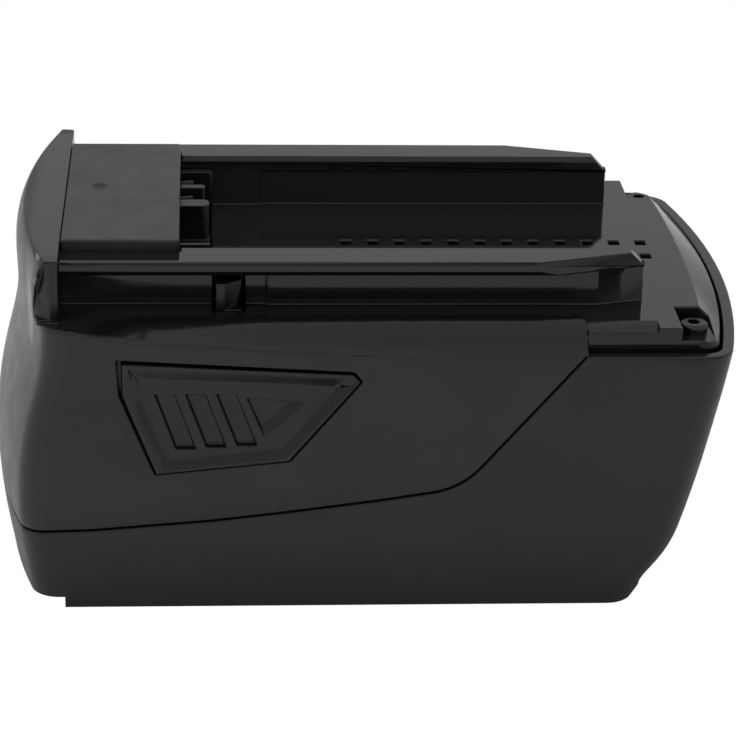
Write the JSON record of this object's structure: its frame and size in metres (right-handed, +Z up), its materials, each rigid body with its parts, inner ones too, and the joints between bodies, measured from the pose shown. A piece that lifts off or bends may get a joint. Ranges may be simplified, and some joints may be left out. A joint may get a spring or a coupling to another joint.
{
  "type": "power tool battery pack",
  "caption": "Slide-on battery pack for a power tool, with guide rails, covered contacts and two side release buttons",
  "frame": {"origin": "middle of the pack's outline, on the surface that its foot stands on", "axes": "+X along the pack from the end plate to the nose, +Y to the far side, +Z up"},
  "size_m": [0.1289, 0.079, 0.0618],
  "materials": {
    "housing": "fine moulded texture, semi-gloss",
    "cover": "fine moulded texture",
    "block": "glass-filled, matt",
    "contact": "tinned spring copper",
    "button": "moulded, semi-gloss",
    "spring_steel": "drawn wire",
    "screw_steel": "black zinc",
    "cell_wrap": "shrink sleeve",
    "holder": "moulded",
    "nickel": "nickel strip",
    "insulation": "board fibre sheet",
    "board": "solder mask",
    "component": "moulded",
    "ribbon": "flat ribbon",
    "lens": "smoked, clear",
    "light": "clear epoxy",
    "damper": "matt"
  },
  "bodies": {
    "root": {"board_screws": "screw_steel", "busbar_far_1": "nickel", "busbar_far_2": "nickel", "busbar_far_3": "nickel", "busbar_near_1": "nickel", "busbar_near_2": "nickel", "busbar_near_3": "nickel", "button_spring_far_front": "spring_steel", "button_spring_far_rear": "spring_steel", "button_spring_near_front": "spring_steel", "button_spring_near_rear": "spring_steel", "capacitors": "component", "cell_01": "cell_wrap", "cell_02": "cell_wrap", "cell_03": "cell_wrap", "cell_04": "cell_wrap", "cell_05": "cell_wrap", "cell_06": "cell_wrap", "cell_07": "cell_wrap", "cell_08": "cell_wrap", "cell_09": "cell_wrap", "cell_10": "cell_wrap", "cell_holder_far": "holder", "cell_holder_near": "holder", "charge_switch": "component", "circuit_board": "board", "contact_cover": "cover", "controller_chip": "component", "current_shunt": "component", "fuse": "component", "housing_screws": "screw_steel", "indicator_board": "board", "indicator_lens": "lens", "indicator_lights": "light", "indicator_ribbon": "ribbon", "insulation_far": "insulation", "insulation_near": "insulation", "lower_housing": "housing", "power_switches": "component", "rear_dampers": "damper", "ribbon_socket": "component", "terminal_block": "block", "terminal_data": "contact", "terminal_minus": "contact", "terminal_plus": "contact", "thermistor": "component", "upper_housing": "housing"},
    "release_button_near": {"release_button_near": "button"},
    "release_button_far": {"release_button_far": "button"}
  },
  "joints": [
    {"name": "near_button_slide", "type": "slide", "parent": "root", "child": "release_button_near", "axis": [0, 1, 0], "range_m": [0, 0.0024], "stiffness_N_per_m": 900, "springref_m": -0.0015, "deforming": ["button_spring_near_front", "button_spring_near_rear"]},
    {"name": "far_button_slide", "type": "slide", "parent": "root", "child": "release_button_far", "axis": [0, -1, 0], "range_m": [0, 0.0024], "stiffness_N_per_m": 900, "springref_m": -0.0015, "deforming": ["button_spring_far_front", "button_spring_far_rear"]}
  ]
}
